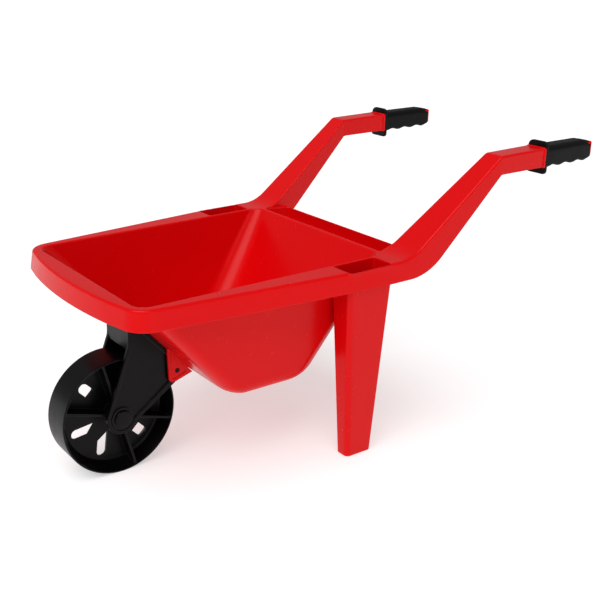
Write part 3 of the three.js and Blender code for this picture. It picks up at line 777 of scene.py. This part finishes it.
def make_fork():
    """Two cheeks with raised borders, joined by a bridge over the wheel."""
    fork = slab("fork_moulding", cheek_outline(0), CHEEK_INNER, FORK_FACE)
    soften(fork, CHEEK_SOFTNESS, 3, 50)
    panel = slab("panel", cheek_outline(BORDER), CHEEK_OUTER, FORK_FACE + 1)
    low, high = CHEEK_OUTER - 1, FORK_FACE + 2
    cut(panel, turned("boss", AXLE, [(BOSS_RADIUS + 0.8, low), (BOSS_RADIUS, high)], 72))
    cut(panel, turned("pin_boss", PIN, [(PIN_BOSS_RADIUS + 0.5, low), (PIN_BOSS_RADIUS, high)], 48))
    cut(fork, panel)
    for centre, radius in ((AXLE, BORE_RADIUS + 0.2), (PIN, PIN_RADIUS + 0.1)):
        cut(fork, turned("hole", centre, [(radius, CHEEK_INNER - 1), (radius, FORK_FACE + 1)], 48))
    join(fork, mirrored(fork))
    low = AXLE.z + WHEEL_RADIUS + BRIDGE_OVER_WHEEL
    back, front = FORK_FRONT - BRIDGE_THICK, FORK_FRONT
    face = [(back, low), (front, low), (front, under_wall(front) - 0.1), (back, under_wall(back) - 0.1)]
    join(fork, slab("bridge", face, -CHEEK_INNER - 1, CHEEK_INNER + 1))
    return smooth_by_angle(fork)


def make_cap(name):
    """A pressed-on cap over the axle's end, with a shallow dome."""
    low, high = box_mm(name)
    outside = 1 if high.y > 0 else -1
    inner, outer = sorted((low.y, high.y), key=abs)
    radius = (high.x - low.x) / 2
    profile = [(radius - 0.4, inner), (radius, inner + outside * 0.4)]
    profile += [
        (radius - CAP_EDGE * (1 - cosine), outer - outside * (CAP_EDGE * (1 - sine) + CAP_DOME))
        for sine, cosine in arc(5)
    ]
    profile += [(radius - 4, outer - outside * 0.15), (2, outer)]
    cap = turned(name + "_moulding", AXLE, profile, 64)
    socket = BORE_RADIUS + 0.2
    cut(cap, turned("socket", AXLE, [(socket, inner - outside), (socket, inner + outside * 1.8)], 48))
    return smooth_by_angle(cap)


def make_pin():
    """The pin through bracket and cheek, with its head let into the bracket."""
    seat = box_mm("bracket_left")[0].y + 0.3
    head, end = pin_high.y, pin_low.y
    profile = [
        (PIN_RADIUS, end), (PIN_RADIUS, seat), (PIN_HEAD, seat),
        (PIN_HEAD, head - 0.5), (PIN_HEAD - 0.5, head),
    ]
    return smooth_by_angle(turned("pin_head_left", PIN, profile, 32))


# ---------------------------------------------------------------- grips


def sleeve_bottom(back):
    """The sleeve's underside at a distance behind the flange, with its finger hollows."""
    height = SLEEVE_BOTTOM
    for n in range(3):
        across = (back - FINGER_FIRST - FINGER_PITCH * n) / (FINGER_PITCH * 0.48)
        if abs(across) < 1:
            height += FINGER_DEPTH * math.cos(math.pi / 2 * across) ** 2
    last = back - FINGER_FIRST - FINGER_PITCH * 2.5
    return height + max(last, 0) * 0.3


def sleeve_section(x, inset):
    """The sleeve's section, crowned on top."""
    front = grip_high.x - FLANGE_THICK
    back = front - x
    from_end = x - grip_low.x
    share = max(back, 0) / (front - grip_low.x)
    half = SLEEVE_HALF + (SLEEVE_END_HALF - SLEEVE_HALF) * share - inset
    top = SLEEVE_TOP - CHAMFER_DROP * max(1 - from_end / CHAMFER_START, 0) - inset
    low = sleeve_bottom(back) + inset
    crown = SLEEVE_CROWN - inset
    corners = [
        (ARM_MIDDLE - half, low, 3), (ARM_MIDDLE + half, low, 3),
        (ARM_MIDDLE + half, top, crown), (ARM_MIDDLE - half, top, crown),
    ]
    return [(x, y, z) for y, z in rounded(corners, 8)]


def make_grip():
    """The sleeve with its flange, bored for the peg."""
    end, edge = grip_low.x, SLEEVE_EDGE
    rings = [sleeve_section(end + edge * (1 - sine), edge * (1 - cosine)) for cosine, sine in arc(4)]
    front = grip_high.x - 1
    step = (front - end - edge) / SLEEVE_PLACES
    rings += [sleeve_section(end + edge + step * k, 0) for k in range(1, SLEEVE_PLACES + 1)]
    grip = loft("grip_sleeve_left", rings)
    half = (grip_high.y - grip_low.y) / 2
    low, high = grip_low.z, grip_high.z
    corners = [
        (ARM_MIDDLE - half, low, 5), (ARM_MIDDLE + half, low, 5),
        (ARM_MIDDLE + half, high, 8), (ARM_MIDDLE - half, high, 8),
    ]
    outline = rounded(corners, 8)
    flange = loft("flange", [[(x, y, z) for y, z in outline] for x in (front + 1 - FLANGE_THICK, front + 1)])
    soften(flange, 1.3, 4)
    join(grip, flange)
    bore = rounded(peg_corners(PEG_HALF[0] + 0.2, PEG_HALF[1] + 0.2), 4)
    cut(grip, loft("bore", [[(x, y, z) for y, z in bore] for x in (end - 2, front + 3)]))
    return smooth_by_angle(grip)


# ---------------------------------------------------------------- materials


def paint(code):
    """A linear colour from an sRGB hex value."""
    parts = [int(code[i : i + 2], 16) / 255 for i in (1, 3, 5)]
    return (*[c / 12.92 if c <= 0.04045 else ((c + 0.055) / 1.055) ** 2.4 for c in parts], 1)


def add(tree, kind, inputs=None, **settings):
    """A node with its settings, and its inputs as values or as other nodes' outputs."""
    made = tree.nodes.new(kind)
    for key, value in settings.items():
        setattr(made, key, value)
    for key, value in (inputs or {}).items():
        if isinstance(value, bpy.types.NodeSocket):
            tree.links.new(value, made.inputs[key])
        else:
            made.inputs[key].default_value = value
    return made


# the colour drifts over about 110 mm, and handling leaves smears about 17 mm across
DRIFTS_PER_METRE = 9.0
SMEARS_PER_METRE = 60.0
BUMP_STRENGTH = 0.12
PLASTIC_IOR = 1.49


def moulded_plastic(name, base, deep, edge_wear_and_highlight, roughness, spread, grain_mm, grain_depth, edge_mm, gloss):
    """Injection-moulded plastic: a colour that drifts slightly, an uneven face, and paler edges that are
    partly scuffs and partly a painted highlight.
    """
    material = bpy.data.materials.new(name)
    material.use_nodes = True
    tree = material.node_tree
    tree.nodes.clear()
    where = add(tree, "ShaderNodeTexCoord").outputs["Object"]
    drift = add(tree, "ShaderNodeTexNoise",
                {"Vector": where, "Scale": DRIFTS_PER_METRE, "Detail": 3.0, "Roughness": 0.5})
    smear = add(tree, "ShaderNodeTexNoise",
                {"Vector": where, "Scale": SMEARS_PER_METRE, "Detail": 4.0, "Roughness": 0.6})
    grain = add(tree, "ShaderNodeTexNoise",
                {"Vector": where, "Scale": 1 / (grain_mm * MM), "Detail": 2.0, "Roughness": 0.5})
    soft = add(tree, "ShaderNodeBevel", {"Radius": edge_mm * MM}, samples=6)
    face = add(tree, "ShaderNodeNewGeometry").outputs["Normal"]
    turn = add(tree, "ShaderNodeVectorMath", {0: soft.outputs["Normal"], 1: face}, operation="DOT_PRODUCT")
    edge = add(tree, "ShaderNodeMapRange",
               {"Value": turn.outputs["Value"], "From Min": 0.995, "From Max": 0.85,
                "To Min": 0.0, "To Max": 1.0})
    # paler colour along every edge: partly scuffs, partly a painted highlight
    scuff_and_highlight = add(tree, "ShaderNodeMath", {0: edge.outputs["Result"], 1: smear.outputs["Fac"]},
                operation="MULTIPLY")
    colour = add(tree, "ShaderNodeMix", {"Factor": drift.outputs["Fac"], "A": paint(base), "B": paint(deep)},
                 data_type="RGBA")
    tinted = add(tree, "ShaderNodeMix", {"Factor": scuff_and_highlight.outputs["Value"], "B": paint(edge_wear_and_highlight)},
                 data_type="RGBA")
    tree.links.new(colour.outputs["Result"], tinted.inputs["A"])
    dull = add(tree, "ShaderNodeMapRange",
               {"Value": smear.outputs["Fac"], "From Min": 0.3, "From Max": 0.7,
                "To Min": roughness - spread, "To Max": roughness + spread})
    bump = add(tree, "ShaderNodeBump",
               {"Height": grain.outputs["Fac"], "Strength": BUMP_STRENGTH, "Distance": grain_depth * MM,
                "Normal": soft.outputs["Normal"]})
    surface = add(tree, "ShaderNodeBsdfPrincipled",
                  {"Roughness": dull.outputs["Result"], "IOR": PLASTIC_IOR, "Specular IOR Level": gloss,
                   "Normal": bump.outputs["Normal"]})
    tree.links.new(tinted.outputs["Result"], surface.inputs["Base Color"])
    add(tree, "ShaderNodeOutputMaterial", {"Surface": surface.outputs["BSDF"]})
    return material


# polypropylene from a polished mould: a strong even red with a broad soft sheen and shallow 6 mm waves
RED = moulded_plastic(
    "red_polypropylene", "#E00308", "#D60206", "#E81C20",
    roughness=0.25, spread=0.03, grain_mm=6.0, grain_depth=0.04, edge_mm=1.2, gloss=0.14)
# black polypropylene from a matt mould: near black and satin, with shallow 3 mm waves and greyer edges that
# are partly scuffs and partly a painted highlight
BLACK = moulded_plastic(
    "black_polypropylene", "#060607", "#030303", "#47484C",
    roughness=0.34, spread=0.06, grain_mm=3.0, grain_depth=0.05, edge_mm=0.9, gloss=0.14)
# softer black sleeve from a spark-eroded mould: dull, its grain drawn at 1.6 mm, coarser than real, to show
GRIP = moulded_plastic(
    "black_grip_sleeve", "#060607", "#040404", "#1A1B1C",
    roughness=0.5, spread=0.05, grain_mm=1.6, grain_depth=0.12, edge_mm=0.9, gloss=0.14)


# about 1 mm across and 17 mm along the rod
DRAWN_LINES_PER_METRE = (900.0, 60.0, 900.0)


def zinc_steel():
    """Zinc-plated steel rod: cool grey, with drawn lines along it that are coarser than real, to show."""
    material = bpy.data.materials.new("zinc_plated_steel")
    material.use_nodes = True
    tree = material.node_tree
    tree.nodes.clear()
    where = add(tree, "ShaderNodeTexCoord").outputs["Object"]
    stretched = add(tree, "ShaderNodeMapping", {"Vector": where, "Scale": DRAWN_LINES_PER_METRE})
    lines = add(tree, "ShaderNodeTexNoise",
                {"Vector": stretched.outputs["Vector"], "Scale": 1.0, "Detail": 3.0})
    dull = add(tree, "ShaderNodeMapRange", {"Value": lines.outputs["Fac"], "To Min": 0.25, "To Max": 0.45})
    colour = add(tree, "ShaderNodeMix",
                 {"Factor": lines.outputs["Fac"], "A": paint("#A9ACB0"), "B": paint("#8E9196")},
                 data_type="RGBA")
    surface = add(tree, "ShaderNodeBsdfPrincipled",
                  {"Base Color": colour.outputs["Result"], "Roughness": dull.outputs["Result"],
                   "Metallic": 1.0})
    add(tree, "ShaderNodeOutputMaterial", {"Surface": surface.outputs["BSDF"]})
    return material


STEEL = zinc_steel()


def finish_with(piece, material):
    """One material over the whole piece."""
    piece.data.materials.clear()
    piece.data.materials.append(material)


def repaint(node, material):
    """A CAD node keeps its shape and gets the real finish."""
    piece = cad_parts[node]
    piece.data.materials.clear()
    piece.data.materials.append(material)


# ---------------------------------------------------------------- the object

moulding = make_red_moulding()
finish_with(moulding, RED)
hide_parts("tray", "leg_left", "leg_right", "arm_left", "arm_right",
            "bracket_left", "bracket_right")
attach(moulding, "frame")

wheel = make_wheel()
finish_with(wheel, BLACK)
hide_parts("wheel")
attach(wheel, "wheel")

fork = make_fork()
finish_with(fork, BLACK)
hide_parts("fork")
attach(fork, "frame")

for name in ("axle_cap_left", "axle_cap_right"):
    cap = make_cap(name)
    finish_with(cap, BLACK)
    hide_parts(name)
    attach(cap, "frame")

for made, node, material, slot in (
    (make_grip(), "grip", GRIP, "grips"), (make_pin(), "bracket_pin", BLACK, "black_moulding"),
):
    twin = smooth_by_angle(mirrored(made))
    twin.name = made.name.replace("left", "right")
    for piece, side in ((made, "_left"), (twin, "_right")):
        finish_with(piece, material)
        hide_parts(node + side)
        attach(piece, "frame")

repaint("axle", STEEL)

# ---------------------------------------------------------------- floor, light and camera


def make_floor():
    """A pale floor with a little light of its own, so that it stays even to the horizon."""
    mesh = bpy.data.meshes.new("floor")
    reach = 12  # metres
    corners = [(-reach, -reach, 0), (reach, -reach, 0), (reach, reach, 0), (-reach, reach, 0)]
    mesh.from_pydata(corners, [], [(0, 1, 2, 3)])
    floor = bpy.data.objects.new("floor", mesh)
    bpy.context.scene.collection.objects.link(floor)
    material = bpy.data.materials.new("pale_floor")
    material.use_nodes = True
    surface = material.node_tree.nodes["Principled BSDF"]
    surface.inputs["Base Color"].default_value = paint("#D2D2D2")
    surface.inputs["Emission Color"].default_value = (1, 1, 1, 1)
    surface.inputs["Emission Strength"].default_value = 0.5
    surface.inputs["Roughness"].default_value = 0.9
    surface.inputs["Specular IOR Level"].default_value = 0.0
    mesh.materials.append(material)


WORLD_LIGHT = 0.33
WORLD_SEEN = 1.1


def make_world():
    """A white studio that gives gentle light and is seen as bright white."""
    world = bpy.data.worlds.new("studio")
    world.use_nodes = True
    tree = world.node_tree
    background = tree.nodes["Background"]
    background.inputs["Color"].default_value = (1, 1, 1, 1)
    seen = add(tree, "ShaderNodeLightPath").outputs["Is Camera Ray"]
    strength = add(tree, "ShaderNodeMapRange", {"Value": seen, "To Min": WORLD_LIGHT, "To Max": WORLD_SEEN})
    tree.links.new(strength.outputs["Result"], background.inputs["Strength"])
    bpy.context.scene.world = world
    bpy.context.scene.view_settings.view_transform = "Standard"


def even_light(direction, strength, softness):
    """A distant light that covers the floor evenly."""
    light = bpy.data.lights.new("distant", "SUN")
    light.energy = strength
    light.angle = math.radians(softness)
    lamp = bpy.data.objects.new("distant", light)
    lamp.rotation_euler = Vector(direction).to_track_quat("-Z", "Y").to_euler()
    bpy.context.scene.collection.objects.link(lamp)


def soft_light(name, place, aim, size, power):
    """A large lamp near the barrow, for a soft sheen on its side."""
    light = bpy.data.lights.new(name, "AREA")
    light.shape = "RECTANGLE"
    light.size, light.size_y = size
    light.energy = power
    lamp = bpy.data.objects.new(name, light)
    lamp.location = place
    lamp.rotation_euler = (Vector(aim) - Vector(place)).to_track_quat("-Z", "Y").to_euler()
    bpy.context.scene.collection.objects.link(lamp)


def make_camera():
    camera = bpy.data.cameras.new("camera")
    camera.sensor_width = 36
    camera.lens = 59.61
    camera.shift_x = 0.0859
    camera.shift_y = -0.0063
    eye = bpy.data.objects.new("camera", camera)
    eye.location = (0.8166, 1.0686, 0.6663)
    aim = Vector((0.0883, 0, 0.1941))
    eye.rotation_euler = (aim - eye.location).to_track_quat("-Z", "Y").to_euler()
    bpy.context.scene.collection.objects.link(eye)
    bpy.context.scene.camera = eye


make_floor()
make_world()
even_light(direction=(-0.55, -0.3, -1), strength=2.2, softness=50)
soft_light("side", place=(0.2, 2.6, 0.8), aim=(0, 0, 0.2), size=(1.2, 1.2), power=4)
make_camera()
